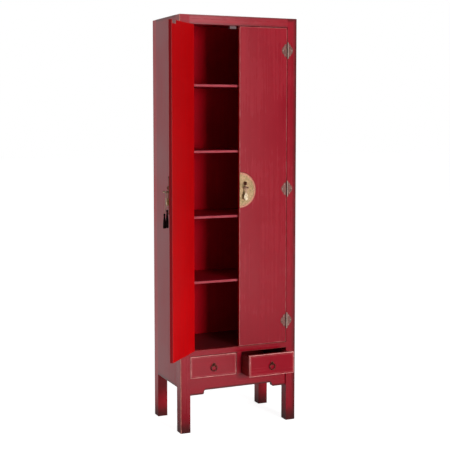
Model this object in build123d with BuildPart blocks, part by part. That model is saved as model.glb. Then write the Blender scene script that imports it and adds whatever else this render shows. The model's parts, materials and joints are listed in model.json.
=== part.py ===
"""A tall, narrow wedding cabinet: two flush doors over two small drawers on a legged frame.

Millimetres, +Z up. The origin is on the floor, in the middle of the four feet. The doors face -Y.
The cabinet is drawn with its left door swung open and its right drawer pulled part of the way out.
"""

import os
from math import cos, radians, sin

from build123d import *

# ---------------------------------------------------------------- driving dimensions
# Carcass
width = 555.0
depth = 330.0
height = 1800.0
post = 45.0  # square section of the four legs, which run the full height
side_thickness = 15.0
side_clearance = 197.0  # floor to the lower edge of a side panel
back_thickness = 6.0
top_thickness = 18.0
rail_thickness = 20.0
top_rail_height = 40.0
middle_rail_height = 25.0
rear_rail_height = 45.0
edge_ease = 1.3  # small chamfer along exposed edges
foot_chamfer = 1.0

# Cusped apron under the drawers
apron_centre_height = 180.0  # floor to the long middle edge
apron_lobe_drop = 18.0
apron_lobe_length = 60.0
apron_cusp_run = 15.0
apron_top = 236.0  # also the level that the drawers run on
apron_recess = 8.0

# Doors
door_thickness = 15.0
door_gap = 2.0
left_door_open = 135.0  # degrees

# Shelves and floor of the cupboard
shelf_count = 4
shelf_thickness = 10.0
shelf_spacing = 273.3  # clear height above each shelf
shelf_setback = 4.0  # behind a closed door
floor_thickness = 12.0
cleat_width = 14.0
cleat_height = 18.0

# Drawers
drawer_space = 99.0
divider_width = 24.0
drawer_gap = 2.0
drawer_rear_clearance = 34.0  # shut drawer to the back panel
drawer_front_thickness = 15.0
drawer_side_thickness = 10.0
drawer_side_height = 86.0
drawer_side_inset = 1.5
drawer_bottom_thickness = 4.0
drawer_bottom_raise = 6.0
drawer_run_clearance = 0.5
right_drawer_out = 80.0
deck_thickness = 12.0
guide_height = 20.0

# Drawer ring pulls
ring_diameter = 30.0  # outside
ring_wire = 4.4
ring_bends = 24  # short straights that make up a ring
wire_sides = 6
ring_stand = 6.5  # centre of the wire to the drawer front
ring_hole_clearance = 0.6  # on the radius of the eye's hole
eye_wall = 1.9
eye_width = 4.0
rosette_diameter = 17.0
rosette_thickness = 1.6
rosette_sides = 12
pull_raise = 5.0  # eye above the middle of the drawer front

# Hinges
hinge_end_distance = 97.5  # door end to the middle of its outer hinge
middle_hinge_height = 1052.0
axis_stand = 4.0  # hinge axis to the face of the door
barrel_radius = 3.5
barrel_sides = 12  # hammered facets round a knuckle
pin_radius = 1.7
pin_clearance = 0.05
knuckle_height = 22.9
knuckle_gap = 0.4
knuckle_count = 3
leaf_thickness = 1.6
leaf_reach = 27.0
leaf_shoulder = 27.0  # half height of a leaf where it meets the barrel
leaf_barrel_gap = 0.8
leaf_lobe = (12.2, 26.5)  # crown of the end lobe, across from the axis and up from the middle
leaf_waist = (15.1, 18.4)  # notch between the end lobe and the broad middle lobe
leaf_nail_spots = ((11.9, 19.4), (21.6, 0.0), (11.9, -19.4))

# Round lock plate, one half on each door
plate_height = 1052.0
plate_radius = 79.0
plate_thickness = 1.6
plate_rim_width = 9.0
plate_rim_rise = 1.1
plate_edge_thickness = 0.8
plate_bead_slope = 2.6  # run of the raised bead's outer flank
plate_nail_radius = 68.0
plate_nail_spread = 72.0  # degrees

# Lock lug with its hole for a bolt or padlock
fitting_inset = 24.0  # free edge of the door to the post and lug
lug_raise = 29.0  # above the middle of the plate
lug_height = 16.0
lug_reach = 19.5
lug_thickness = 5.0
lug_hole_radius = 3.5

# Post and hanging leaf pull
post_raise = 12.0
post_radius = 2.5
post_length = 34.0
knob_radius = 4.2
knob_height = 8.4
knob_sides = 8
knob_taper = 11.0  # degrees
collar_radius = 6.0
collar_thickness = 3.0
pull_stand = 15.5  # plate side of the leaf to the door face
pull_thickness = 2.0
pull_eye_radius = 6.3
pull_hole_clearance = 0.5
pull_neck_width = 5.6
pull_neck_length = 19.0
pull_blade_width = 20.0
pull_blade_height = 38.0
pull_shoulder = 0.55  # where the blade is widest, as a part of its height

# Tassels on the left door's post
loop_stand = 25.2
loop_clearance = 0.4
cord_radius = 1.4
loop_bends = 12
strand_spread = 1.6
tassel_drops = (88.0, 72.0)  # post axis to the top of each tassel's head
tassel_spread = 6.1
tassel_lengths = (62.0, 76.0)
tassel_head_radius = 4.4
tassel_head_height = 11.0
tassel_crown_height = 4.0  # rounded top of a head
tassel_crown_taper = 27.0  # degrees
tassel_sides = 8
cord_seat = 1.5  # length of a cord inside a tassel's head
tassel_neck_taper = 6.5  # degrees that the head narrows to its neck
tassel_skirt_radius = 5.9
tassel_flare = 24.0  # length over which the skirt widens
tassel_skirt_taper = 5.5  # degrees

# Rose-headed nails with square shanks
nail_head_radius = 2.6
nail_head_height = 1.3
nail_head_sides = 6
nail_head_taper = 40.0  # degrees
nail_shank_radius = 0.9
nail_length = 9.0

# Magnetic catches under the top rail
catch_width = 30.0
catch_depth = 16.0
catch_drop = 12.0  # visible below the top rail
catch_nose = 2.5
catch_inset = 22.0
strike_width = 34.0
strike_height = 14.0
strike_thickness = 1.5
catch_shut_gap = 0.5

# ---------------------------------------------------------------- levels and planes
half_width = width / 2
half_depth = depth / 2
front = -half_depth
inner_half_width = half_width - side_thickness
opening_half_width = half_width - post
post_centre_x = half_width - post / 2
post_centre_y = half_depth - post / 2

cupboard_floor = apron_top + drawer_space + middle_rail_height
opening_top = height - top_rail_height
door_bottom = cupboard_floor + door_gap
door_top = opening_top - door_gap
door_height = door_top - door_bottom
door_width = (2 * opening_half_width - 3 * door_gap) / 2
shelf_pitch = shelf_spacing + shelf_thickness
board_back = half_depth - back_thickness
frame_back = front + rail_thickness

axis_x = opening_half_width - door_gap / 2
axis_y = front - axis_stand
hinge_heights = (door_bottom + hinge_end_distance, middle_hinge_height, door_top - hinge_end_distance)
barrel_height = knuckle_count * knuckle_height + (knuckle_count - 1) * knuckle_gap


class Leaf:
    """One door's directions: u along the closed cabinet's +X, v up, w out of the door's front face."""

    def __init__(self, side, swing):
        self.side = side
        self.away = 1 if side == "left" else -1  # from the hinge towards the free edge, along u
        turn = radians(swing)
        self.along = Vector(cos(turn), -sin(turn), 0)
        self.out = Vector(-sin(turn), -cos(turn), 0)
        self.pivot = Vector(-self.away * axis_x, axis_y, 0)
        self.face = Plane(origin=self.pivot, x_dir=self.along, z_dir=self.out).offset(-axis_stand)
        self.free_edge = self.away * (door_gap / 2 + door_width)

    def face_at(self, u, v, w=0.0):
        """The plane parallel to the door's face whose origin is at u, v and w."""
        return Plane(origin=self.face.from_local_coords((u, v, w)), x_dir=self.along, z_dir=self.out)

    def fitting_at(self, v, w=0.0):
        """The same, over the line on which the lug and the post stand."""
        return self.face_at(self.free_edge - self.away * fitting_inset, v, w)

    def plan_at(self, z):
        """A level plane through the hinge axis, with x along u and y into the cabinet."""
        return Plane(origin=self.pivot + Vector(0, 0, z), x_dir=self.along, z_dir=(0, 0, 1))


left_leaf = Leaf("left", left_door_open)
right_leaf = Leaf("right", 0.0)
shut_left = Leaf("left", 0.0)

os.makedirs("parts", exist_ok=True)


def save(piece, name):
    """Label a finished piece and write it as one STEP file."""
    piece.part.label = name
    export_step(piece.part, f"parts/{name}.step")


def wire_ring(plane, radius, wire_radius, bends):
    """A closed ring of wire lying in a plane, bent from short straights."""
    with BuildLine(plane) as route:
        corners = [
            (radius * cos(radians(360 * turn / bends)), radius * sin(radians(360 * turn / bends)))
            for turn in range(bends)
        ]
        Polyline(*corners, close=True)
    with BuildSketch(Plane(origin=route.line @ 0, z_dir=route.line % 0)) as section:
        RegularPolygon(wire_radius, wire_sides)
    sweep(section.sketch, path=route.line, transition=Transition.RIGHT)


# ---------------------------------------------------------------- carcass
def board(x_span, y_span, z_span, eased=None):
    """A plain board between three pairs of coordinates, with the chosen edges eased."""
    with BuildPart() as piece:
        with BuildSketch(Plane.XY.offset(z_span[0])):
            with Locations((sum(x_span) / 2, sum(y_span) / 2)):
                Rectangle(x_span[1] - x_span[0], y_span[1] - y_span[0])
        extrude(amount=z_span[1] - z_span[0])
        if eased:
            chamfer(eased(piece.edges()), edge_ease)
    return piece


def fitted_board(y_span, z_span, ease_front=False):
    """A level board between the side panels, notched round the four posts."""
    with BuildPart() as piece:
        with BuildSketch(Plane.XY.offset(z_span[0])):
            with Locations((0, sum(y_span) / 2)):
                Rectangle(2 * inner_half_width, y_span[1] - y_span[0])
            with GridLocations(2 * post_centre_x, 2 * post_centre_y, 2, 2):
                Rectangle(post, post, mode=Mode.SUBTRACT)
        extrude(amount=z_span[1] - z_span[0])
        if ease_front:
            nose = piece.faces().sort_by(Axis.Y)[0]
            chamfer(nose.edges().filter_by(Axis.X), edge_ease)
    return piece


def leg(x_side, y_side):
    """A square post from the floor to the top, with eased outer corners."""
    with BuildPart() as piece:
        with BuildSketch():
            with Locations((x_side * post_centre_x, y_side * post_centre_y)):
                Rectangle(post, post)
        extrude(amount=height)
        outer_corner = Vector(x_side * half_width, y_side * half_depth, height)
        outer_edges = piece.edges().filter_by(lambda e: e.distance_to(outer_corner) < foot_chamfer)
        chamfer(outer_edges, edge_ease)
        chamfer(piece.faces().sort_by(Axis.Z)[0].edges(), foot_chamfer)
    return piece


for x_name, x_side in (("left", -1), ("right", 1)):
    for y_name, y_side in (("front", -1), ("rear", 1)):
        save(leg(x_side, y_side), f"leg_{y_name}_{x_name}")
    panel = board(
        sorted((x_side * inner_half_width, x_side * half_width)),
        (post - half_depth, half_depth - post),
        (side_clearance, height),
    )
    save(panel, f"side_panel_{x_name}")

opening_span = (-opening_half_width, opening_half_width)
save(board(opening_span, (board_back, half_depth), (side_clearance, height)), "back_panel")
save(fitted_board((frame_back, board_back), (height - top_thickness, height)), "top_board")
save(
    board(
        opening_span,
        (front, frame_back),
        (opening_top, height),
        lambda edges: edges.filter_by(Axis.X).group_by(Axis.Y)[0],
    ),
    "top_rail",
)
save(
    board(
        opening_span,
        (front, frame_back),
        (apron_top + drawer_space, cupboard_floor),
        lambda edges: edges.filter_by(Axis.X).group_by(Axis.Y)[0],
    ),
    "middle_rail",
)
save(
    board(
        (-divider_width / 2, divider_width / 2),
        (front, frame_back),
        (apron_top, apron_top + drawer_space),
        lambda edges: edges.filter_by(Axis.Z).group_by(Axis.Y)[0],
    ),
    "drawer_divider",
)
save(
    board(
        opening_span,
        (board_back - rail_thickness, board_back),
        (apron_top - deck_thickness - rear_rail_height, apron_top - deck_thickness),
    ),
    "rear_rail",
)

# The apron: straight in the middle, with an ogee cusp down to a lobe beside each leg
lobe_bottom = apron_centre_height - apron_lobe_drop
lobe_end = opening_half_width - apron_lobe_length
with BuildPart() as apron:
    with BuildSketch(Plane.XZ.offset(-(front + apron_recess))):
        with BuildLine():
            Line((0, apron_top), (opening_half_width, apron_top))
            Line((opening_half_width, apron_top), (opening_half_width, lobe_bottom))
            Line((opening_half_width, lobe_bottom), (lobe_end, lobe_bottom))
            lower_curve = TangentArc(
                (lobe_end, lobe_bottom),
                (lobe_end - apron_cusp_run / 2, lobe_bottom + apron_lobe_drop / 2),
                tangent=(-1, 0),
            )
            upper_curve = TangentArc(
                lower_curve @ 1,
                (lobe_end - apron_cusp_run, apron_centre_height),
                tangent=lower_curve % 1,
            )
            Line(upper_curve @ 1, (0, apron_centre_height))
            mirror(about=Plane.YZ)
        make_face()
    extrude(amount=-rail_thickness)
save(apron, "apron")

deck_span = (front + apron_recess + rail_thickness, board_back)
save(fitted_board(deck_span, (apron_top - deck_thickness, apron_top)), "drawer_deck")
floor_span = (frame_back, board_back)
save(fitted_board(floor_span, (cupboard_floor - floor_thickness, cupboard_floor)), "cupboard_floor")

with BuildPart() as drawer_guides:
    outer_width = inner_half_width - opening_half_width
    with BuildSketch(Plane.XY.offset(apron_top)):
        for x_side in (-1, 1):
            with Locations((x_side * (opening_half_width + outer_width / 2), 0)):
                Rectangle(outer_width, depth - 2 * post)
        with Locations((0, (frame_back + board_back) / 2)):
            Rectangle(divider_width, board_back - frame_back)
    extrude(amount=guide_height)
save(drawer_guides, "drawer_guides")

shelf_front = front + door_thickness + shelf_setback
highest_shelf = height - top_thickness - shelf_spacing
shelf_tops = [highest_shelf - i * shelf_pitch for i in reversed(range(shelf_count))]
for number, shelf_top in enumerate(shelf_tops, 1):
    shelf = fitted_board((shelf_front, board_back), (shelf_top - shelf_thickness, shelf_top), True)
    save(shelf, f"shelf_{number}")

with BuildPart() as shelf_cleats:
    for shelf_top in shelf_tops:
        with BuildSketch(Plane.XY.offset(shelf_top - shelf_thickness)):
            with GridLocations(2 * inner_half_width - cleat_width, 0, 2, 1):
                Rectangle(cleat_width, depth - 2 * post)
        extrude(amount=-cleat_height)
save(shelf_cleats, "shelf_cleats")


# ---------------------------------------------------------------- hinges
def leaf_plate(face, reach_side, z_middle):
    """The scalloped plate of one hinge leaf, lying on a face beside the barrel."""
    start = reach_side * (barrel_radius + leaf_barrel_gap)
    with BuildSketch(face) as outline:
        with BuildLine():
            Line((start, z_middle - leaf_shoulder), (start, z_middle + leaf_shoulder))
            for end in (-1, 1):
                ThreePointArc(
                    (start, z_middle + end * leaf_shoulder),
                    (reach_side * leaf_lobe[0], z_middle + end * leaf_lobe[1]),
                    (reach_side * leaf_waist[0], z_middle + end * leaf_waist[1]),
                )
            ThreePointArc(
                (reach_side * leaf_waist[0], z_middle - leaf_waist[1]),
                (reach_side * leaf_reach, z_middle),
                (reach_side * leaf_waist[0], z_middle + leaf_waist[1]),
            )
        make_face()
    extrude(outline.sketch, amount=leaf_thickness)


def leaf_knuckles(leaf, reach_side, z_middle, own, bore_radius):
    """The rolled knuckles of one hinge leaf, each with the tab that joins it to the plate."""
    tab_reach = barrel_radius + leaf_barrel_gap + leaf_thickness
    first = z_middle - barrel_height / 2
    for number in own:
        with BuildSketch(leaf.plan_at(first + number * (knuckle_height + knuckle_gap))) as section:
            RegularPolygon(barrel_radius, barrel_sides)
            with Locations((reach_side * tab_reach / 2, axis_stand - leaf_thickness / 2)):
                Rectangle(tab_reach, leaf_thickness)
            Circle(bore_radius, mode=Mode.SUBTRACT)
        extrude(section.sketch, amount=knuckle_height)


frame_knuckles = range(0, knuckle_count, 2)
door_knuckles = range(1, knuckle_count, 2)
shut_leaves = {"left": shut_left, "right": right_leaf}

with BuildPart() as hinge_frame_leaves:
    for leaf in shut_leaves.values():
        for z_middle in hinge_heights:
            leaf_plate(leaf.face, -leaf.away, z_middle)
            leaf_knuckles(leaf, -leaf.away, z_middle, frame_knuckles, pin_radius)
save(hinge_frame_leaves, "hinge_frame_leaves")

with BuildPart() as hinge_pins:
    for leaf in shut_leaves.values():
        for z_middle in hinge_heights:
            with Locations(leaf.pivot + Vector(0, 0, z_middle)):
                Cylinder(pin_radius, barrel_height)
save(hinge_pins, "hinge_pins")


def nail(plane, surface):
    """A nail driven square into a face; surface is the top of what its head holds."""
    with BuildSketch(plane.offset(surface)) as head:
        RegularPolygon(nail_head_radius, nail_head_sides)
    extrude(head.sketch, amount=nail_head_height, taper=nail_head_taper)
    with BuildSketch(plane.offset(surface)) as shank:
        RegularPolygon(nail_shank_radius, 4)
    extrude(shank.sketch, amount=-nail_length)


def leaf_nails(leaf, reach_side, z_middle):
    """Three nails through one hinge leaf."""
    for across, up in leaf_nail_spots:
        nail(leaf.face_at(reach_side * across, z_middle + up), leaf_thickness)


with BuildPart() as hinge_frame_nails:
    for leaf in shut_leaves.values():
        for z_middle in hinge_heights:
            leaf_nails(leaf, -leaf.away, z_middle)
save(hinge_frame_nails, "hinge_frame_nails")


# ---------------------------------------------------------------- doors
def door_panel(leaf):
    """One flush door, a single painted slab."""
    with BuildPart() as piece:
        with BuildSketch(leaf.face):
            with Locations((leaf.away * (door_gap + door_width) / 2, (door_bottom + door_top) / 2)):
                Rectangle(door_width, door_height)
        extrude(amount=-door_thickness)
        chamfer(piece.edges(), edge_ease)
    return piece


def hinge_door_leaves(leaf):
    """The door's half of each hinge."""
    with BuildPart() as piece:
        for z_middle in hinge_heights:
            leaf_plate(leaf.face, leaf.away, z_middle)
            leaf_knuckles(leaf, leaf.away, z_middle, door_knuckles, pin_radius + pin_clearance)
    return piece


def lock_plate(leaf):
    """Half of the round plate, with a raised bead along its rim, cut off at the door's free edge."""
    centre = leaf.face.from_local_coords((leaf.free_edge + leaf.away * door_gap / 2, plate_height, 0))
    bead_top = plate_thickness + plate_rim_rise
    bead_inside = plate_radius - plate_rim_width
    with BuildPart() as piece:
        with BuildSketch(Plane(origin=centre, x_dir=(0, 0, 1), z_dir=Vector(0, 0, 1).cross(leaf.out))):
            with BuildLine():
                Polyline(
                    (0, 0),
                    (plate_radius, 0),
                    (plate_radius, plate_edge_thickness),
                    (plate_radius - plate_bead_slope, bead_top),
                    (bead_inside, bead_top),
                    (bead_inside, plate_thickness),
                    (0, plate_thickness),
                    close=True,
                )
            make_face()
        revolve(axis=Axis(centre, leaf.out))
        edge_plane = Plane(
            origin=leaf.face.from_local_coords((leaf.free_edge, plate_height, 0)),
            x_dir=leaf.out,
            z_dir=leaf.along * -leaf.away,
        )
        split(bisect_by=edge_plane, keep=Keep.TOP)
    return piece


def lock_lug(leaf):
    """A lug on the plate with a hole along the door, for a bolt or a padlock's bow."""
    foot = leaf.fitting_at(plate_height + lug_raise)
    hole_reach = lug_reach - lug_height / 2
    with BuildPart() as piece:
        with BuildSketch(Plane(origin=foot.origin, x_dir=leaf.out, z_dir=leaf.along)):
            with Locations((hole_reach, 0)):
                Circle(lug_height / 2)
            with Locations(((plate_thickness + hole_reach) / 2, 0)):
                Rectangle(hole_reach - plate_thickness, lug_height)
            with Locations((hole_reach, 0)):
                Circle(lug_hole_radius, mode=Mode.SUBTRACT)
        extrude(amount=lug_thickness / 2, both=True)
    return piece


def pull_post(leaf):
    """The post that carries the leaf pull, with a collar at its foot and a faceted knob at its tip."""
    with BuildPart() as piece:
        with BuildSketch(leaf.fitting_at(plate_height + post_raise, plate_thickness)):
            Circle(post_radius)
        extrude(amount=post_length - plate_thickness)
        with BuildSketch(leaf.fitting_at(plate_height + post_raise, plate_thickness)):
            Circle(collar_radius)
        extrude(amount=collar_thickness)
        with BuildSketch(leaf.fitting_at(plate_height + post_raise, post_length)) as girdle:
            RegularPolygon(knob_radius, knob_sides)
        for direction in (-1, 1):
            extrude(girdle.sketch, amount=direction * knob_height / 2, taper=knob_taper)
    return piece


def pull_leaf(leaf):
    """The leaf-shaped drop pull: an eye on the post, a slim neck and a broad rounded blade."""
    blade_top = -pull_neck_length
    blade_tip = blade_top - pull_blade_height
    widest = blade_top - pull_blade_height * pull_shoulder
    with BuildPart() as piece:
        with BuildSketch(leaf.fitting_at(plate_height + post_raise, pull_stand)):
            Circle(pull_eye_radius)
            with BuildLine():
                Line((0, 0), (pull_neck_width / 2, 0))
                neck = Line((pull_neck_width / 2, 0), (pull_neck_width / 2, blade_top))
                hollow = TangentArc(
                    neck @ 1,
                    ((pull_neck_width + pull_blade_width) / 4, (blade_top + widest) / 2),
                    tangent=(0, -1),
                )
                TangentArc(hollow @ 1, (pull_blade_width / 2, widest), tangent=hollow % 1)
                EllipticalCenterArc(
                    (0, widest), pull_blade_width / 2, widest - blade_tip, start_angle=-90, arc_size=90
                )
                mirror(about=Plane.YZ)
            make_face()
            Circle(post_radius + pull_hole_clearance, mode=Mode.SUBTRACT)
        extrude(amount=pull_thickness)
    return piece


def door_nails(leaf):
    """The nails of a door's hinge leaves and of its half of the lock plate."""
    centre_u = leaf.free_edge + leaf.away * door_gap / 2
    with BuildPart() as piece:
        for z_middle in hinge_heights:
            leaf_nails(leaf, leaf.away, z_middle)
        for step in (-1, 0, 1):
            turn = radians(step * plate_nail_spread)
            across = centre_u - leaf.away * plate_nail_radius * cos(turn)
            nail(leaf.face_at(across, plate_height + plate_nail_radius * sin(turn)), plate_thickness)
    return piece


def strike_plate(leaf):
    """The steel plate inside a door, which its catch holds."""
    centre_u = leaf.free_edge - leaf.away * catch_inset
    with BuildPart() as piece:
        with BuildSketch(leaf.face.offset(-door_thickness)):
            with Locations((centre_u, door_top - strike_height / 2 - edge_ease)):
                Rectangle(strike_width, strike_height)
        extrude(amount=-strike_thickness)
    return piece


for leaf in (left_leaf, right_leaf):
    save(door_panel(leaf), f"door_panel_{leaf.side}")
    save(hinge_door_leaves(leaf), f"hinge_door_leaves_{leaf.side}")
    save(lock_plate(leaf), f"lock_plate_{leaf.side}")
    save(lock_lug(leaf), f"lock_lug_{leaf.side}")
    save(pull_post(leaf), f"pull_post_{leaf.side}")
    save(pull_leaf(leaf), f"pull_leaf_{leaf.side}")
    save(door_nails(leaf), f"door_nails_{leaf.side}")
    save(strike_plate(leaf), f"strike_plate_{leaf.side}")

# Catches hang behind the top rail; their noses stand just clear of the shut doors' strikes
nose_front = front + door_thickness + strike_thickness + catch_shut_gap
for leaf in shut_leaves.values():
    centre_x = leaf.pivot.X + leaf.free_edge - leaf.away * catch_inset
    with BuildPart() as catch:
        with BuildSketch(Plane.XY.offset(height - top_thickness)):
            with Locations((centre_x, frame_back + catch_depth / 2)):
                Rectangle(catch_width, catch_depth)
        extrude(amount=-(top_rail_height - top_thickness + catch_drop))
        with BuildSketch(Plane.XY.offset(opening_top - catch_drop)):
            with Locations((centre_x, (nose_front + frame_back) / 2)):
                Rectangle(catch_width, frame_back - nose_front)
        extrude(amount=catch_drop - catch_nose)
    save(catch, f"catch_{leaf.side}")

# ---------------------------------------------------------------- tassels
hang = left_leaf.fitting_at(plate_height + post_raise, loop_stand)
loop_radius = post_radius + loop_clearance + cord_radius
with BuildPart() as tassel_loop:
    wire_ring(hang, loop_radius, cord_radius, loop_bends)
save(tassel_loop, "tassel_loop")


def hang_point(drop, stand):
    """A point under the post's axis, so far down and so far out from the loop."""
    return hang.from_local_coords((0, -drop, stand))


strand_sides = (1, -1)
with BuildPart() as tassel_cords:
    for side, drop in zip(strand_sides, tassel_drops):
        top_point = hang_point(loop_radius, side * strand_spread)
        end_point = hang_point(drop, side * tassel_spread)
        with BuildSketch(Plane(origin=top_point, z_dir=end_point - top_point)):
            RegularPolygon(cord_radius, wire_sides)
        extrude(amount=(end_point - top_point).length + cord_seat)
save(tassel_cords, "tassel_cords")


def tassel_part(plane, radius, amount, taper=0.0):
    """One faceted length of a tassel, down or up from its widest section."""
    with BuildSketch(plane) as section:
        RegularPolygon(radius, tassel_sides)
    extrude(section.sketch, amount=amount, taper=taper)


with BuildPart() as tassels:
    for side, drop, length in zip(strand_sides, tassel_drops, tassel_lengths):
        top = Plane(origin=hang_point(drop, side * tassel_spread), x_dir=left_leaf.out, z_dir=(0, 0, 1))
        head_level = top.offset(-tassel_crown_height)
        tassel_part(head_level, tassel_head_radius, tassel_crown_height, tassel_crown_taper)
        tassel_part(head_level, tassel_head_radius, tassel_crown_height - tassel_head_height, tassel_neck_taper)
        flare_level = top.offset(-tassel_head_height - tassel_flare)
        tassel_part(flare_level, tassel_skirt_radius, tassel_flare, tassel_skirt_taper)
        tassel_part(flare_level, tassel_skirt_radius, tassel_head_height + tassel_flare - length)
save(tassels, "tassels")


# ---------------------------------------------------------------- drawers
def drawer(side, x_side, pulled_out):
    """A drawer's front, sides, back and bottom, with the fixed part of its ring pull and the ring."""
    face_y = front - pulled_out
    front_width = opening_half_width - divider_width / 2 - 2 * drawer_gap
    centre_x = x_side * (opening_half_width + divider_width / 2) / 2
    front_z = (apron_top + drawer_gap, apron_top + drawer_space - drawer_gap)
    box_half = front_width / 2 - drawer_side_inset
    box_bottom = apron_top + drawer_run_clearance
    side_top = box_bottom + drawer_side_height
    inside_front = face_y + drawer_front_thickness
    box_back = face_y + depth - back_thickness - drawer_rear_clearance
    floor_top = box_bottom + drawer_bottom_raise + drawer_bottom_thickness

    front_board = board(
        (centre_x - front_width / 2, centre_x + front_width / 2),
        (face_y, inside_front),
        front_z,
        lambda edges: edges,
    )
    save(front_board, f"drawer_front_{side}")

    with BuildPart() as sides:
        with BuildSketch(Plane.XY.offset(box_bottom)):
            with Locations((centre_x, (inside_front + box_back) / 2)):
                with GridLocations(2 * box_half - drawer_side_thickness, 0, 2, 1):
                    Rectangle(drawer_side_thickness, box_back - inside_front)
        extrude(amount=drawer_side_height)
    save(sides, f"drawer_sides_{side}")

    inner_half = box_half - drawer_side_thickness
    inner_span = (centre_x - inner_half, centre_x + inner_half)
    back_span = (box_back - drawer_side_thickness, box_back)
    save(board(inner_span, back_span, (floor_top, side_top)), f"drawer_back_{side}")
    bottom_z = (floor_top - drawer_bottom_thickness, floor_top)
    save(board(inner_span, (inside_front, box_back), bottom_z), f"drawer_bottom_{side}")

    eye_z = sum(front_z) / 2 + pull_raise
    hole_radius = ring_wire / 2 + ring_hole_clearance
    eye_radius = hole_radius + eye_wall
    with BuildPart() as rosette:
        with BuildSketch(Plane(origin=(centre_x, face_y, eye_z), x_dir=(1, 0, 0), z_dir=(0, -1, 0))):
            RegularPolygon(rosette_diameter / 2, rosette_sides)
        extrude(amount=rosette_thickness)
        with BuildSketch(Plane(origin=(centre_x, face_y, eye_z), x_dir=(0, -1, 0), z_dir=(1, 0, 0))):
            with Locations((ring_stand, 0)):
                Circle(eye_radius)
            with Locations(((rosette_thickness + ring_stand) / 2, 0)):
                Rectangle(ring_stand - rosette_thickness, 2 * eye_radius)
            with Locations((ring_stand, 0)):
                Circle(hole_radius, mode=Mode.SUBTRACT)
        extrude(amount=eye_width / 2, both=True)
    save(rosette, f"ring_eye_{side}")

    ring_radius = (ring_diameter - ring_wire) / 2
    ring_centre = (centre_x, face_y - ring_stand, eye_z - ring_radius)
    with BuildPart() as ring:
        ring_plane = Plane(origin=ring_centre, x_dir=(1, 0, 0), z_dir=(0, -1, 0))
        wire_ring(ring_plane, ring_radius, ring_wire / 2, ring_bends)
    save(ring, f"ring_pull_{side}")


drawer("left", -1, 0.0)
drawer("right", 1, right_drawer_out)
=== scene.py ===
"""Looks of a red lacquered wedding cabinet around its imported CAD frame. Metres, +Z up, front to -Y."""
import json
import math
import random

import bpy
from mathutils import Matrix, Vector


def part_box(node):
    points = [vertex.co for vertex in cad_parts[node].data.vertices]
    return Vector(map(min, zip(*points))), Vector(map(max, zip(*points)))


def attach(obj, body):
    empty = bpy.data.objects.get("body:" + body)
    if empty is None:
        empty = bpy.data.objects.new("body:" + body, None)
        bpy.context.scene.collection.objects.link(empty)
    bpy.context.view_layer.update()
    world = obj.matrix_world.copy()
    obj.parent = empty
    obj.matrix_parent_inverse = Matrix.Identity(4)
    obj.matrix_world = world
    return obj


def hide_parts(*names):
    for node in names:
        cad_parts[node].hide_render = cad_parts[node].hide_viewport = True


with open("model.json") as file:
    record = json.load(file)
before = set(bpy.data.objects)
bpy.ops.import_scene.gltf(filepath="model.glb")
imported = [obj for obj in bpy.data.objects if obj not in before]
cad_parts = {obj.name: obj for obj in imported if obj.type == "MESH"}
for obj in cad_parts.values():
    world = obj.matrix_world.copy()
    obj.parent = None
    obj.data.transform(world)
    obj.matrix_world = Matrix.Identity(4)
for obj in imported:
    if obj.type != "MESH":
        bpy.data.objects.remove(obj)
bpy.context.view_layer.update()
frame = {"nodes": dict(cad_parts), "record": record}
nodes = frame["nodes"]
body_of_node = {
    node: body
    for body, members in frame["record"]["behaviour"]["bodies"].items()
    for node in members
}
slot_of_node = {part["node"]: part["material_slot"] for part in frame["record"]["subparts"]}
scene = bpy.context.scene
scene.view_settings.view_transform = "Standard"
chance = random.Random(7)

UP = Vector((0, 0, 1))
DOWN = Vector((0, 0, -1))
AXES = (Vector((1, 0, 0)), Vector((0, 1, 0)), Vector((0, 0, 1)))
SIDES = ("left", "right")
WHITE = (1.0, 1.0, 1.0, 1.0)


# ---------------------------------------------------------------- camera
camera_place = (-1.8286, -4.1452, 1.3622)
camera_turn = math.radians(23.856)  # looks this far right of the cabinet's front normal
camera_tilt = math.radians(4.756)  # and this far down
camera_lens = 80.617
camera_shift = -0.05
sensor_width = 36.0

camera = bpy.data.objects.new("camera", bpy.data.cameras.new("camera"))
camera.location = camera_place
camera.rotation_euler = (math.radians(90) - camera_tilt, 0, -camera_turn)
camera.data.sensor_width = sensor_width
camera.data.lens = camera_lens
camera.data.shift_y = camera_shift
scene.collection.objects.link(camera)
scene.camera = camera


# ---------------------------------------------------------------- reading the frame
def middle(node):
    """The middle of a CAD node's box."""
    low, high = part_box(node)
    return (low + high) / 2


def points_of(node):
    """The vertices of a CAD node."""
    return [vertex.co for vertex in nodes[node].data.vertices]


def solids_of(node):
    """The vertices of each separate solid in a CAD node."""
    mesh = nodes[node].data
    parent = {}

    def root(key):
        while parent[key] != key:
            key = parent[key]
        return key

    spots = [tuple(round(c, 6) for c in vertex.co) for vertex in mesh.vertices]
    for spot in spots:
        parent.setdefault(spot, spot)
    for polygon in mesh.polygons:
        first = root(spots[polygon.vertices[0]])
        for index in polygon.vertices[1:]:
            parent[root(spots[index])] = first
    groups = {}
    for spot in parent:
        groups.setdefault(root(spot), []).append(Vector(spot))
    return [groups[key] for key in sorted(groups)]


def reach(points, direction):
    """How far points lie along a direction: lowest and highest."""
    along = [point.dot(direction) for point in points]
    return min(along), max(along)


def width(points, direction):
    """How far apart points lie along a direction."""
    low, high = reach(points, direction)
    return high - low


def box_middle(points):
    """The middle of the box round some points."""
    return Vector([sum(reach(points, axis)) / 2 for axis in AXES])


open_angle = math.radians(135)  # how far the left door stands open at rest
left_door_turn = Matrix.Rotation(-open_angle, 3, "Z")
out_right = Vector((0, -1, 0))
out_left = left_door_turn @ out_right
along_left = left_door_turn @ Vector((1, 0, 0))
along_right = Vector((-1, 0, 0))
# A door's own axes: from its hinges to its free edge, out of its outer face, and up
door_axes = {"left": (along_left, out_left, UP), "right": (along_right, out_right, UP)}


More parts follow.
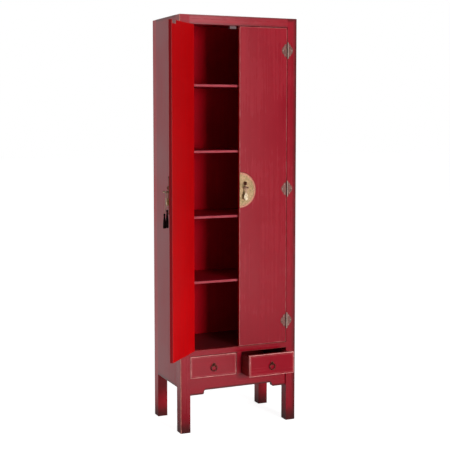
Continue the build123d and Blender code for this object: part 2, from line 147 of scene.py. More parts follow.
# ---------------------------------------------------------------- material graphs
def paint(red, green, blue):
    """A colour given as it looks on a screen, 0 to 255, as linear values."""
    return [
        c / 12.92 if c <= 0.04045 else ((c + 0.055) / 1.055) ** 2.4
        for c in (red / 255, green / 255, blue / 255)
    ] + [1.0]


class Finish:
    """One material and the nodes that make it. Values may be numbers, colours or sockets."""

    def __init__(self, name, **settings):
        self.material = bpy.data.materials.new(name)
        self.material.use_nodes = True
        self.tree = self.material.node_tree
        self.shader = self.tree.nodes["Principled BSDF"]
        self.place = self.add("ShaderNodeTexCoord").outputs["Object"]
        for socket, value in settings.items():
            self.shader.inputs[socket.replace("_", " ")].default_value = value

    def add(self, kind, **settings):
        """A new node with its settings."""
        node = self.tree.nodes.new(kind)
        for key, value in settings.items():
            setattr(node, key, value)
        return node

    def put(self, socket, value):
        """Links a socket or sets a value, a colour's first three numbers where a vector is wanted."""
        if isinstance(value, bpy.types.NodeSocket):
            self.tree.links.new(value, socket)
        else:
            socket.default_value = value[:3] if socket.type == "VECTOR" else value

    def math(self, operation, *values):
        """One operation on two values, or on more from the first to the last."""
        total = values[0]
        for value in values[1:]:
            node = self.add("ShaderNodeMath", operation=operation)
            self.put(node.inputs[0], total)
            self.put(node.inputs[1], value)
            total = node.outputs[0]
        return total

    def unsigned(self, value):
        """A value without its sign."""
        node = self.add("ShaderNodeMath", operation="ABSOLUTE")
        self.put(node.inputs[0], value)
        return node.outputs[0]

    def product(self, *values):
        return self.math("MULTIPLY", *values)

    def total(self, *values):
        return self.math("ADD", *values)

    def along(self, direction):
        """Distance of a surface point along a direction, in metres."""
        node = self.add("ShaderNodeVectorMath", operation="DOT_PRODUCT")
        self.put(node.inputs[0], self.place)
        node.inputs[1].default_value = direction
        return node.outputs["Value"]

    def away_from(self, spot, place=None):
        """Distance of a surface point from a fixed spot, in metres."""
        node = self.add("ShaderNodeVectorMath", operation="DISTANCE")
        self.put(node.inputs[0], place or self.place)
        node.inputs[1].default_value = spot
        return node.outputs["Value"]

    def combine(self, x, y, z):
        """A place from its three coordinates."""
        node = self.add("ShaderNodeCombineXYZ")
        for socket, value in zip(node.inputs, (x, y, z)):
            self.put(socket, value)
        return node.outputs[0]

    def step(self, value, start, end, low=0.0, high=1.0):
        """Goes smoothly from low to high while value goes from start to end."""
        node = self.add("ShaderNodeMapRange", interpolation_type="SMOOTHSTEP")
        for socket, number in zip(node.inputs, (value, start, end, low, high)):
            self.put(socket, number)
        return node.outputs[0]

    def noise(self, scale, detail=3.0, roughness=0.5, distortion=0.0, place=None):
        """Noise around 0.5, with so many features per metre or per unit of a given place."""
        node = self.add("ShaderNodeTexNoise")
        self.put(node.inputs["Vector"], place or self.place)
        node.inputs["Scale"].default_value = scale
        node.inputs["Detail"].default_value = detail
        node.inputs["Roughness"].default_value = roughness
        node.inputs["Distortion"].default_value = distortion
        return node.outputs[0]

    def uneven(self, distance, noise, amount):
        """A distance that wanders by a share of an amount, so that what follows it looks ragged."""
        return self.total(distance, self.product(self.math("SUBTRACT", noise, 0.5), amount))

    def stretched(self, across, grain, axes, grain_axis):
        """Coordinates that draw a texture out along the grain axis."""
        parts = [
            self.product(self.along(axis), grain if number == grain_axis else across)
            for number, axis in enumerate(axes)
        ]
        return self.combine(*parts)

    def mix(self, factor, first, second):
        """The first colour where the factor is 0, the second where it is 1."""
        node = self.add("ShaderNodeMix", data_type="RGBA")
        self.put(node.inputs[0], factor)
        self.put(node.inputs[6], first)
        self.put(node.inputs[7], second)
        return node.outputs[2]

    def shade(self, colour, brightness):
        """A colour made lighter or darker by a factor."""
        node = self.add("ShaderNodeVectorMath", operation="SCALE")
        self.put(node.inputs[0], colour)
        self.put(node.inputs["Scale"], brightness)
        return node.outputs[0]

    def bump(self, height, depth, strength):
        """A normal for a relief, whose depth in metres is that of a height of 1."""
        node = self.add("ShaderNodeBump")
        node.inputs["Strength"].default_value = strength
        node.inputs["Distance"].default_value = depth
        self.put(node.inputs["Height"], height)
        return node.outputs[0]

    def build(self, colour, roughness, normal):
        """The finished material."""
        for name, value in (("Base Color", colour), ("Roughness", roughness), ("Normal", normal)):
            self.put(self.shader.inputs[name], value)
        return self.material


def dress(node, material):
    """Puts a material on a CAD node, whose mesh stays as it is."""
    slots = nodes[node].material_slots
    if not slots:
        nodes[node].data.materials.append(material)
    for place in slots:
        place.link = "OBJECT"
        place.material = material


# ---------------------------------------------------------------- lacquer
outside_red = paint(151, 8, 31)
# a lighter red for the rear legs: painted light, standing in for the light on their faces under the
# cabinet
rear_brightened_red = paint(178, 7, 32)
inside_red = paint(194, 0, 6)
# a darker, greyer red for the cupboard's floor: painted shade and painted sheen
shaded_floor_red = paint(106, 30, 35)
# painted shade for the left door's free end, which faces away from the key lamp
shaded_edge_red = paint(124, 2, 12)
panel_red = paint(192, 6, 28)
glaze_brown = paint(58, 22, 20)
worn_tan = paint(222, 142, 126)
worn_pink = paint(240, 172, 166)
rubbed_pink = paint(226, 130, 140)

no_edge = 1.0  # stands for the distance to an edge that doesn't count
outer_skin = (0.0012, 0.0004)  # depths under a board's outer face between which its back colour ends
end_skin = (0.0010, 0.0006)  # the same under its far end, for the end colour
glaze_full = 0.0012  # the glaze is full up to this distance from an edge
edge_unevenness = 0.006  # how far the end of the glaze wanders along an edge
foot_unevenness = 0.05  # and over the feet
foot_full = 0.004  # height up to which the glaze over the feet is full
foot_reach = 0.075  # and up to which it goes
foot_darkness = 0.85
foot_shade = (0.0, 0.27, 0.80, 1.0)  # two heights on a leg, and the tone at each
lower_glaze = (0.001, 0.012, 0.85, 0.0)  # two heights over a shaped lower edge, and the glaze at each
line_start = (0.0065, 0.0070)  # distances from an edge over which the inner worn line begins
line_end = (0.0082, 0.0087)  # and ends
brush_depth = 0.00012
brush_strength = 0.27

LEFT, RIGHT = (0, -1), (0, 1)  # the sides of a board: which axis, and which end of it
FRONT, BACK = (1, -1), (1, 1)
BOTTOM, TOP = (2, -1), (2, 1)
ALL_SIDES = (LEFT, RIGHT, FRONT, BACK, BOTTOM, TOP)
RAIL_SIDES = (FRONT, BACK, BOTTOM, TOP)


def edge_distance(finish, points, axes, sides):
    """Distance from a point on a board's face to the nearest edge between its open sides."""
    distances = []
    for number, axis in enumerate(axes):
        low, high = reach(points, axis)
        position = finish.along(axis)
        nearest = no_edge
        if (number, -1) in sides:
            nearest = finish.math("MINIMUM", nearest, finish.math("SUBTRACT", position, low))
        if (number, 1) in sides:
            nearest = finish.math("MINIMUM", nearest, finish.math("SUBTRACT", high, position))
        distances.append(nearest)
    first, second, third = distances
    return finish.math(
        "MAXIMUM",
        finish.math("MINIMUM", first, second),
        finish.math("MINIMUM", finish.math("MAXIMUM", first, second), third),
    )


def lacquer(
    node,
    colour=outside_red,
    axes=AXES,
    grain_axis=2,
    glaze_sides=ALL_SIDES,
    glaze=0.5,
    glaze_reach=0.0105,
    wear_sides=ALL_SIDES,
    wear=0.6,
    wear_width=0.0016,
    worn_colour=worn_tan,
    inner_line=0.0,  # strength of a second worn line inside the edges
    foot_glaze=0.0,
    lower_edge=None,  # level of the straight edge, level of the lobes, where a lobe starts and is full
    back_colour=None,  # colour of all faces but the outer one, which lies furthest along axes[1]
    back_wear=1.0,  # share of the wear on those faces
    back_roughness=None,
    end_colour=None,  # colour of the end furthest along axes[0]: painted shade on an end that faces away from the lamps
    roughness=0.34,
    ior=1.4,
    painted_bounce_tone=None,  # two heights, and the tone at each: painted light, lighter low down as from light off the floor
):
    """Hand rubbed lacquer on one board: brush streaks, dark glaze near its edges, worn edges."""
    finish = Finish(f"lacquer_{node}", IOR=ior)
    points = points_of(node)

    clouds = finish.noise(3.2, 4.0, 0.55)  # slow changes of tone and gloss
    streaks = finish.noise(1.0, 5.0, 0.6, place=finish.stretched(90.0, 1.6, axes, grain_axis))
    bristles = finish.noise(1.0, 3.0, 0.6, place=finish.stretched(900.0, 7.0, axes, grain_axis))
    grit = finish.noise(420.0, 3.0, 0.7)  # breaks up the worn edges
    patches = finish.noise(38.0, 4.0, 0.6)  # makes glaze and wear ragged

    base = colour
    if back_colour is not None:
        face = reach(points, axes[1])[1]
        deep, shallow = outer_skin
        outside = finish.step(finish.along(axes[1]), face - deep, face - shallow)
        base = finish.mix(outside, back_colour, colour)
    # painted shade on the far end, when an end colour is given
    if end_colour is not None:
        end = reach(points, axes[0])[1]
        deep, shallow = end_skin
        at_end = finish.step(finish.along(axes[0]), end - deep, end - shallow)
        base = finish.mix(at_end, base, end_colour)
    tone = finish.product(
        finish.step(clouds, 0.3, 0.7, 0.93, 1.06),
        finish.step(streaks, 0.3, 0.7, 0.95, 1.04),
        finish.step(bristles, 0.25, 0.75, 0.96, 1.03),
    )
    if foot_glaze:
        tone = finish.product(tone, finish.step(finish.along(UP), *foot_shade))
    # painted light and shade over height, when asked for
    if painted_bounce_tone is not None:
        tone = finish.product(tone, finish.step(finish.along(UP), *painted_bounce_tone))
    base = finish.shade(base, tone)

    if glaze:
        distance = edge_distance(finish, points, axes, glaze_sides)
        ragged = finish.uneven(distance, patches, edge_unevenness)
        glazed = finish.product(
            finish.step(ragged, glaze_full, glaze_reach, 1.0, 0.0),
            finish.step(patches, 0.2, 0.75, 0.55, 1.0),
            glaze,
        )
        base = finish.mix(glazed, base, glaze_brown)
    if foot_glaze:
        smoky = finish.uneven(finish.along(UP), patches, foot_unevenness)
        darkness = finish.step(smoky, foot_full, foot_reach, foot_glaze, 0.0)
        base = finish.mix(darkness, base, glaze_brown)
    if lower_edge is not None:
        straight, lobe, lobe_start, lobe_end = lower_edge
        sideways = finish.unsigned(finish.along(axes[0]))
        level = finish.step(sideways, lobe_start, lobe_end, straight, lobe)
        above = finish.math("SUBTRACT", finish.along(UP), level)
        smoky = finish.uneven(above, patches, edge_unevenness)
        base = finish.mix(finish.step(smoky, *lower_glaze), base, glaze_brown)

    worn = 0.0
    if wear:
        if back_wear < 1.0:
            wear = finish.product(finish.step(outside, 0.0, 1.0, back_wear, 1.0), wear)
        distance = edge_distance(finish, points, axes, wear_sides)
        frayed = finish.product(distance, finish.step(patches, 0.3, 0.7, 1.35, 0.75))
        worn = finish.product(
            finish.step(frayed, wear_width * 0.8, wear_width * 1.25, 1.0, 0.0),
            finish.step(grit, 0.26, 0.46, 0.45, 1.0),
            finish.step(finish.noise(9.0, 3.0), 0.32, 0.5, 0.55, 1.0),
            wear,
        )
        if inner_line:
            line = finish.product(
                finish.step(distance, *line_start),
                finish.step(distance, *line_end, 1.0, 0.0),
                inner_line,
            )
            base = finish.mix(line, base, worn_colour)
        base = finish.mix(worn, base, worn_colour)

    if back_roughness is not None:
        roughness = finish.step(outside, 0.0, 1.0, back_roughness, roughness)
    rough = finish.total(
        finish.step(clouds, 0.3, 0.7, -0.03, 0.05),
        roughness,
        finish.product(worn, 0.25),
        finish.step(streaks, 0.35, 0.75, -0.02, 0.04),
    )
    relief = finish.total(
        finish.product(streaks, 0.5), finish.product(bristles, 0.10), finish.product(worn, -0.6)
    )
    return dress(node, finish.build(base, rough, finish.bump(relief, brush_depth, brush_strength)))


front_roughness = 0.25
lacquer(
    "leg_front_left",
    glaze_sides=(LEFT, FRONT),
    glaze=0.25,
    wear_sides=(LEFT, FRONT),
    wear=0.75,
    wear_width=0.0026,
    foot_glaze=foot_darkness,
    roughness=0.28,
)
lacquer(
    "leg_front_right",
    glaze_sides=(RIGHT, FRONT, TOP),
    glaze=0.95,
    glaze_reach=0.024,
    wear_sides=(RIGHT, FRONT),
    wear=0.1,
    foot_glaze=foot_darkness,
    roughness=front_roughness,
)
rear_sides = {"left": (LEFT, BACK), "right": (RIGHT, BACK)}
drawer_ior = {"left": 1.4, "right": 1.29}  # the right drawer's front is less glossy
for side in SIDES:
    lacquer(
        f"leg_rear_{side}",
        colour=rear_brightened_red,
        glaze_sides=rear_sides[side],
        glaze=0.3,
        wear_sides=rear_sides[side],
        wear=0.2,
        foot_glaze=foot_darkness,
    )
    lacquer(
        f"side_panel_{side}",
        glaze_sides=(LEFT, RIGHT, BOTTOM, TOP),
        glaze=0.85,
        glaze_reach=0.016,
        wear=0.0,
    )
    lacquer(
        f"drawer_front_{side}",
        grain_axis=0,
        glaze=0.0,
        wear=0.95,
        wear_width=0.0025,
        worn_colour=worn_pink,
        inner_line=0.16,
        roughness=front_roughness,
        ior=drawer_ior[side],
    )

door_finish = {
    "glaze": 0.0,
    "wear": 0.40,
    "wear_width": 0.0020,
    "worn_colour": worn_pink,
    "back_colour": inside_red,
    "roughness": front_roughness,
}
lacquer(
    "door_panel_left",
    axes=door_axes["left"],
    back_wear=0.08,
    back_roughness=0.42,
    end_colour=shaded_edge_red,
    ior=1.27,
    # painted light: the left door lighter low down and darker higher up
    painted_bounce_tone=(0.35, 1.15, 1.22, 0.90),
    **door_finish,
)
lacquer("door_panel_right", axes=door_axes["right"], **door_finish)

rail_finish = {"grain_axis": 0, "glaze_sides": RAIL_SIDES, "roughness": front_roughness}
lacquer("top_rail", wear_sides=(FRONT, TOP), wear=0.15, glaze=0.6, ior=1.55, **rail_finish)
lacquer("middle_rail", wear_sides=RAIL_SIDES, wear=0.2, glaze=0.1, **rail_finish)

apron_low, apron_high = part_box("apron")
lobe_drop = 0.018  # how far the lobes hang below the apron's straight edge
lobe_start, lobe_full = 0.075, 0.060  # distances from its ends at which a lobe starts and is full
lacquer(
    "apron",
    grain_axis=0,
    glaze=0.0,
    wear=0.0,
    lower_edge=(
        apron_low.z + lobe_drop,
        apron_low.z,
        apron_high.x - lobe_start,
        apron_high.x - lobe_full,
    ),
    roughness=front_roughness,
)
lacquer("drawer_divider", glaze_sides=(LEFT, RIGHT, FRONT), wear=0.0, glaze=0.15)
lacquer("top_board", grain_axis=0, wear=0.3, glaze=0.6)

inner_finish = {"grain_axis": 0, "roughness": 0.5, "glaze": 0.0, "wear_sides": (FRONT, BOTTOM, TOP)}
for shelf in (1, 2, 3, 4):
    lacquer(
        f"shelf_{shelf}",
        wear=0.32,
        wear_width=0.0050,
        worn_colour=rubbed_pink,
        ior=1.3,
        **inner_finish,
    )
lacquer("cupboard_floor", colour=shaded_floor_red, wear=0.1, **inner_finish)
lacquer("back_panel", back_colour=panel_red, wear=0.0, glaze=0.35, roughness=0.55, ior=1.2)


# ---------------------------------------------------------------- stained wood
drawer_stain = (paint(126, 9, 15), paint(98, 6, 11))  # the light and the dark of its rings
case_stain = (paint(66, 8, 12), paint(40, 5, 8))
pore_brown = paint(30, 8, 9)


def stained_wood(node, grain_axis, light, dark):
    """Thin maroon stain over open-pored softwood."""
    finish = Finish(f"stain_{node}", IOR=1.45)
    rings = finish.noise(1.0, 4.0, 0.55, 1.2, place=finish.stretched(55.0, 2.4, AXES, grain_axis))
    pores = finish.noise(1.0, 2.0, 0.6, place=finish.stretched(800.0, 18.0, AXES, grain_axis))
    blotches = finish.noise(8.0, 4.0, 0.6)
    colour = finish.mix(finish.step(rings, 0.32, 0.68), light, dark)
    colour = finish.shade(colour, finish.step(blotches, 0.3, 0.75, 0.82, 1.12))
    colour = finish.mix(finish.step(pores, 0.60, 0.74, 0.0, 0.6), colour, pore_brown)
    rough = finish.step(blotches, 0.3, 0.7, 0.5, 0.66)
    relief = finish.math(
        "SUBTRACT", finish.product(rings, 0.4), finish.step(pores, 0.58, 0.74, 0.0, 0.7)
    )
    return dress(node, finish.build(colour, rough, finish.bump(relief, 0.0002, 0.6)))


for node, slot in slot_of_node.items():
    if slot == "dark_stained_wood":
        low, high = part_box(node)
        size = high - low
        longest = max(range(3), key=lambda axis: size[axis])
        stained_wood(node, longest, *(drawer_stain if node.startswith("drawer_") else case_stain))


# ---------------------------------------------------------------- metals, plastic, cord and silk
cut_depth = 0.0002  # over which a cut edge turns dark
knuckle_reach = (0.0036, 0.0042)  # distances from a hinge pin's axis over which its knuckles end
knuckle_seam = (0.0014, 0.0002)  # distances behind that axis between which their painted shade ends


def old_metal(
    name,
    metal,
    tarnish,
    pits,
    roughness,
    dents=0.0006,  # depth of the hammer dents
    spots=0.55,  # level of the noise from which pits show
    metallic=1.0,
    rim=None,  # colour, centre, and the radii between which the bead at the rim begins
    edge=None,  # a direction, and the place along it where a dark cut edge begins
    neck=None,  # colour, the height up to which the metal is bright, the height from which it is dull
    knuckle_light_and_shade=None,  # colour of a painted highlight, and for each hinge its axis and the direction of its highlit side; the other side gets painted shade
):
    """Beaten metal: soft hammer dents, patches of tarnish, dark pits."""
    finish = Finish(name, Metallic=metallic)
    blotches = finish.noise(95.0, 5.0, 0.62, 0.6)
    specks = finish.noise(420.0, 3.0, 0.6)
    hammer = finish.add("ShaderNodeTexVoronoi", feature="SMOOTH_F1")
    finish.put(hammer.inputs["Vector"], finish.place)
    hammer.inputs["Scale"].default_value = 190.0

    colour = finish.mix(finish.step(blotches, 0.38, 0.68), metal, tarnish)
    if rim is not None:
        rim_colour, centre, start, full = rim
        bead = finish.step(finish.away_from(centre), start, full)
        colour = finish.mix(finish.product(bead, 0.85), colour, rim_colour)
    if edge is not None:
        direction, start = edge
        cut = finish.step(finish.along(direction), start, start + cut_depth)
        colour = finish.mix(cut, colour, pits)
    if neck is not None:
        neck_colour, bright_height, dull_height = neck
        dull = finish.step(finish.along(UP), bright_height, dull_height, 0.0, 0.9)
        colour = finish.mix(dull, colour, neck_colour)
    # painted light on the knuckles: a highlight on the side towards the key lamp, painted shade in the
    # pit colour on the other
    if knuckle_light_and_shade is not None:
        knuckle_highlight_colour, hinge_axes = knuckle_light_and_shade
        level = finish.combine(finish.along(AXES[0]), finish.along(AXES[1]), 0.0)
        for axis, towards in hinge_axes:
            foot = Vector((axis.x, axis.y, 0.0))
            seam = foot.dot(towards)
            deep, shallow = knuckle_seam
            highlit_side = finish.step(finish.along(towards), seam - deep, seam - shallow)
            painted_knuckle = finish.mix(highlit_side, pits, knuckle_highlight_colour)
            inside = finish.step(finish.away_from(foot, level), *knuckle_reach, 0.9, 0.0)
            colour = finish.mix(inside, colour, painted_knuckle)
    colour = finish.mix(finish.step(specks, spots, spots + 0.1, 0.0, 0.75), colour, pits)

    rough = finish.total(
        finish.step(blotches, 0.3, 0.7, roughness, roughness + 0.16),
        finish.step(specks, spots, spots + 0.12, 0.0, 0.2),
    )
    relief = finish.total(
        finish.product(hammer.outputs["Distance"], 0.8), finish.product(specks, -0.12)
    )
    return finish.build(colour, rough, finish.bump(relief, dents, 0.5))


hinge_spots = [box_middle(points) for points in solids_of("hinge_pins")]
left_axis = min(hinge_spots, key=lambda spot: spot.x)
right_axis = max(hinge_spots, key=lambda spot: spot.x)


def hinge_brass(name, *hinge_axes):
    """Browned brass; its knuckles get a painted highlight on one side and painted shade on the other."""
    return old_metal(
        name,
        paint(150, 106, 98),
        paint(112, 74, 68),
        paint(58, 38, 34),
        0.42,
        metallic=0.6,
        knuckle_light_and_shade=(paint(226, 204, 190), hinge_axes),
    )


def plate_brass(side):
    """The plate is greenish gold inside a bead that is rubbed down to pinkish brass."""
    along, out, _ = door_axes[side]
    points = points_of(f"lock_plate_{side}")
    low, high = reach(points, UP)
    radius = (high - low) / 2
    free_edge = reach(points, along)[1]
    centre = along * free_edge + out * reach(points, out)[0] + UP * (low + high) / 2
    return old_metal(
        f"plate_brass_{side}",
        paint(188, 154, 120),
        paint(146, 128, 88),
        paint(80, 56, 38),
        0.30,
        spots=0.57,
        rim=(paint(206, 136, 120), centre, radius * 0.84, radius * 0.92),
        edge=(along, free_edge - 2 * cut_depth),
    )


def leaf_brass(side):
    """A pull's leaf: its blade a very pale brass, partly a painted highlight of the lamp on its curve,
    speckled and dull at its neck.
    """
    low, high = reach(points_of(f"pull_leaf_{side}"), UP)
    return old_metal(
        f"leaf_brass_{side}",
        paint(242, 226, 196),
        paint(206, 182, 150),
        paint(120, 88, 66),
        0.42,
        neck=(paint(176, 136, 118), low * 0.62 + high * 0.38, low * 0.42 + high * 0.58),
    )


def plastic(name, colour):
    """Moulded plastic with a fine grain and a faint haze."""
    finish = Finish(name, IOR=1.46)
    grain = finish.noise(1400.0, 2.0)
    haze = finish.noise(60.0, 3.0)
    shaded = finish.shade(colour, finish.step(haze, 0.3, 0.7, 0.92, 1.05))
    rough = finish.step(haze, 0.3, 0.7, 0.42, 0.55)
    return finish.build(shaded, rough, finish.bump(grain, 0.00005, 0.5))


def yarn(name, light, dark, scale, roughness=0.75, sheen=0.25, ior=1.4):
    """Twisted or combed fibre: light and dark threads with fine fuzz."""
    finish = Finish(name, IOR=ior, Sheen_Weight=sheen)
    fibre = finish.noise(scale, 3.0, 0.65)
    colour = finish.mix(finish.step(fibre, 0.35, 0.65), dark, light)
    fuzz = finish.noise(scale * 2.5, 2.0)
    return finish.build(colour, roughness, finish.bump(fuzz, 0.0001, 0.6))


hinge_metal = hinge_brass("hinge_metal", (left_axis, AXES[0]), (right_axis, AXES[0]))
hinge_bright = old_metal(
    "hinge_bright", paint(206, 176, 164), paint(156, 124, 114), paint(80, 60, 54), 0.34, metallic=0.7
)
post_brass = old_metal("post_brass", paint(192, 154, 132), paint(130, 94, 80), paint(76, 50, 40), 0.45)
bronze = old_metal("bronze", paint(128, 78, 66), paint(84, 46, 40), paint(40, 22, 20), 0.36)
# a pale pink strike: partly its steel, partly a painted highlight and painted reflection of the red door
# round it
steel = old_metal(
    "steel", paint(234, 196, 194), paint(206, 168, 166), paint(140, 108, 108), 0.5, dents=0.0001
)
catch_grey = plastic("catch_grey", paint(106, 86, 88))
cord_beige = yarn("cord_beige", paint(228, 196, 176), paint(166, 132, 116), 2200.0)
silk_black = yarn("silk_black", paint(34, 8, 10), paint(10, 3, 4), 1600.0, 0.7, sheen=0.0, ior=1.2)

finishes = {
    "aged_brass": hinge_metal,
    "dark_bronze": bronze,
    "strike_steel": steel,
    "catch_plastic": catch_grey,
    "polished_brass": post_brass,
    "cord_fabric": cord_beige,
    "tassel_silk": silk_black,
}
for node, slot in slot_of_node.items():
    if slot in finishes:
        dress(node, finishes[slot])
dress("hinge_pins", hinge_bright)
dress("hinge_door_leaves_left", hinge_brass("hinge_metal_left", (left_axis, along_left)))
for side in SIDES:
    dress(f"lock_plate_{side}", plate_brass(side))
    dress(f"pull_leaf_{side}", leaf_brass(side))


# ---------------------------------------------------------------- mesh pieces
def piece(name, vertices, faces, material, node):
    """A mesh object that rides with a CAD node's body and wears a given material."""
    mesh = bpy.data.meshes.new(name)
    mesh.from_pydata([tuple(v) for v in vertices], [], faces)
    mesh.validate()
    mesh.update()
    mesh.shade_smooth()
    made = bpy.data.objects.new(name, mesh)
    made.data.materials.append(material)
    scene.collection.objects.link(made)
    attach(made, body_of_node[node])
    return made


def side_axes(direction):
    """Two axes at right angles to a direction and to each other."""
    helper = AXES[0] if abs(direction.dot(UP)) > 0.9 else UP
    first = direction.cross(helper).normalized()
    return first, direction.cross(first).normalized()


def spoke(angle, first=AXES[0], second=AXES[1]):
    """A direction at an angle from a first axis towards a second."""
    return first * math.cos(angle) + second * math.sin(angle)


def circle(centre, radius, steps, second=AXES[1]):
    """Points round a circle, which starts towards the x axis and turns towards a second axis."""
    return [centre + spoke(math.tau * step / steps, second=second) * radius for step in range(steps)]


def skin(rings, sides, closed=False):
    """Faces between rings of points with as many sides each, with a cap at both ends if it's open."""
    faces = []
    for ring in range(rings if closed else rings - 1):
        here = ring * sides
        there = (ring + 1) % rings * sides
        for step in range(sides):
            after = (step + 1) % sides
            faces.append((here + step, here + after, there + after, there + step))
    if not closed:
        faces.append(tuple(reversed(range(sides))))
        faces.append(tuple(range((rings - 1) * sides, rings * sides)))
    return faces


def turned(profile, origin, direction, sides):
    """A closed turned shape: profile gives (distance along the direction, radius) from tip to tip."""
    first, second = side_axes(direction)
    vertices = []
    for along, radius in profile:
        for step in range(sides):
            outward = spoke(math.tau * step / sides, first, second)
            vertices.append(origin + direction * along + outward * radius)
    return vertices, skin(len(profile), sides)


tube_sides = 12


def tube(path, section, closed=False):
    """A tube along a path, whose frame turns with it. section(step, angle) gives the radius."""
    count = len(path)
    vertices = []
    normal = None
    for number, point in enumerate(path):
        before = path[number - 1] if closed or number else point
        after = path[(number + 1) % count] if closed or number < count - 1 else point
        tangent = (after - before).normalized()
        if normal is None:
            normal = side_axes(tangent)[0]
        normal = (normal - tangent * normal.dot(tangent)).normalized()
        other = tangent.cross(normal)
        for step in range(tube_sides):
            angle = math.tau * step / tube_sides
            vertices.append(point + spoke(angle, normal, other) * section(number, angle))
    return vertices, skin(count, tube_sides, closed)


def joined(parts):
    """One mesh from several lists of vertices and faces."""
    vertices = []
    faces = []
    for part_vertices, part_faces in parts:
        start = len(vertices)
        vertices.extend(part_vertices)
        faces.extend(tuple(start + index for index in face) for face in part_faces)
    return vertices, faces


# Domed nail heads in place of the faceted ones
dome_steps = 6
dome_sides = 16
dome_height = 0.62  # these three are shares of a head's radius
shank_radius = 0.3
tip_radius = 0.04


def nail_heads(node, name, out):
    """Round hammered heads over the shanks of a node's nails, where the CAD has them."""
    made = []
    for points in solids_of(node):
        centre = box_middle(points)
        low, high = reach(points, out)
        tip = centre + out * (high - centre.dot(out))
        radius = width(points, side_axes(out)[0]) / 2
        height = radius * dome_height
        shank = radius * shank_radius
        profile = [(low - high, shank), (-height, shank), (-height, radius)]
        for step in range(1, dome_steps):
            angle = math.radians(90) * step / dome_steps
            profile.append((-height * (1 - math.sin(angle)), radius * math.cos(angle)))
        profile.append((0.0, radius * tip_radius))
        made.append(turned(profile, tip, out, dome_sides))
    vertices, faces = joined(made)
    heads = piece(name, vertices, faces, hinge_bright, node)
    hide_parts(node)


nail_heads("hinge_frame_nails", "frame_nail_heads", out_right)
nail_heads("door_nails_left", "door_nail_heads_left", out_left)
nail_heads("door_nails_right", "door_nail_heads_right", out_right)


# Forged drawer rings, round in section and a little uneven
ring_steps = 72
ring_waves = 5
ring_wire = 0.97  # mean thickness as a share of the CAD ring's
ring_waver = 0.05  # how far it goes up and down


def drawer_ring(side):
    """The ring of one drawer's pull, in place of the faceted one."""
    node = f"ring_pull_{side}"
    low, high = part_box(node)
    wire = (high.y - low.y) / 2
    path = circle((low + high) / 2, (high.x - low.x) / 2 - wire, ring_steps, UP)

    def section(number, angle):
        return wire * (ring_wire + ring_waver * math.sin(ring_waves * math.tau * number / ring_steps))

    vertices, faces = tube(path, section, closed=True)
    ring = piece(f"drawer_ring_{side}", vertices, faces, bronze, node)
    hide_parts(node)


# Posts of the leaf pulls: a collar on the plate, a round shaft and a turned knob
post_sides = 28
collar_profile = ((0.0, 0.99), (0.0012, 1.0), (0.0020, 0.82))  # distance from the foot, share
shaft_start = (0.0024, 0.0027)  # distance from the foot, radius
knob_profile = (  # distance from the tip, radius
    (0.0088, 0.0025),
    (0.0080, 0.0032),
    (0.0068, 0.0041),
    (0.0048, 0.0046),
    (0.0030, 0.0043),
    (0.0014, 0.0033),
    (0.0004, 0.0018),
    (0.0, 0.0003),
)


def pull_post(side):
    """One turned post, as long as the CAD one and with a collar as wide."""
    node = f"pull_post_{side}"
    out = door_axes[side][1]
    points = points_of(node)
    low, high = reach(points, out)
    centre = middle(node)
    foot = centre + out * (low - centre.dot(out))
    collar = width(points, UP) / 2
    profile = [(along, collar * share) for along, share in collar_profile]
    profile.append(shaft_start)
    profile += [(high - low - back, radius) for back, radius in knob_profile]
    vertices, faces = turned(profile, foot, out, post_sides)
    post = piece(f"turned_post_{side}", vertices, faces, post_brass, node)
    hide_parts(node)


for side in SIDES:
    drawer_ring(side)
for side in SIDES:
    pull_post(side)


# ---------------------------------------------------------------- tassels and their cords
cord_radius = 0.0014
ply_count = 3
ply_depth = 0.16
twist_pitch = 0.0075

head_height = 0.0115
head_width = 0.78  # of the skirt's
head_sides = 32
head_tip = 0.0006
head_profile = (  # shares of the head's height and radius
    (0.06, 0.42),
    (0.22, 0.82),
    (0.45, 1.0),
    (0.68, 0.88),
    (0.84, 0.62),
    (1.0, 0.60),
    (1.12, 0.66),
)
rib_depth = 0.05
wrap_levels = (0.80, 0.88, 0.96, 1.04)  # shares of the head's height
wrap_width = 0.68  # of the head's
wrap_steps = 20
wrap_thread = 0.00045

thread_rings = ((0.92, 34), (0.66, 24), (0.36, 12))  # share of the skirt's radius, number of threads
thread_radius = 0.00048
thread_steps = 7
thread_sides = 4
thread_start = 0.95  # share of the head's height
thread_neck = 0.62  # and of its radius
shortest_thread = 0.95
bunching = 0.3
thread_bow = 0.10
thread_stray = 0.0003


def tassel_head(top, head_radius):
    """The bound head: a ribbed knob over a wrapped neck."""
    profile = [(0.0, head_tip)]
    profile += [(head_height * height, head_radius * radius) for height, radius in head_profile]
    vertices, faces = turned(profile, top, DOWN, head_sides)
    ribbed = []
    for number, vertex in enumerate(vertices):
        axis_point = Vector((top.x, top.y, vertex.z))
        ribbed.append(axis_point + (vertex - axis_point) * (1.0 + rib_depth * (-1) ** number))
    wraps = []
    for level in wrap_levels:
        path = circle(top + DOWN * head_height * level, head_radius * wrap_width, wrap_steps)
        wraps.append(tube(path, lambda number, angle: wrap_thread, closed=True))
    return [(ribbed, faces)] + wraps


def thread(start, end, bow):
    """One silk thread of a skirt, from the neck to its loose end."""
    vertices = []
    for step in range(thread_steps + 1):
        share = step / thread_steps
        spread = math.sin(share * math.pi / 2)
        sway = math.sin(share * math.pi)
        point = Vector(
            (
                start.x + (end.x - start.x) * spread + bow.x * sway,
                start.y + (end.y - start.y) * spread + bow.y * sway,
                start.z + (end.z - start.z) * share,
            )
        )
        vertices += circle(point, thread_radius, thread_sides)
    return vertices, skin(thread_steps + 1, thread_sides)


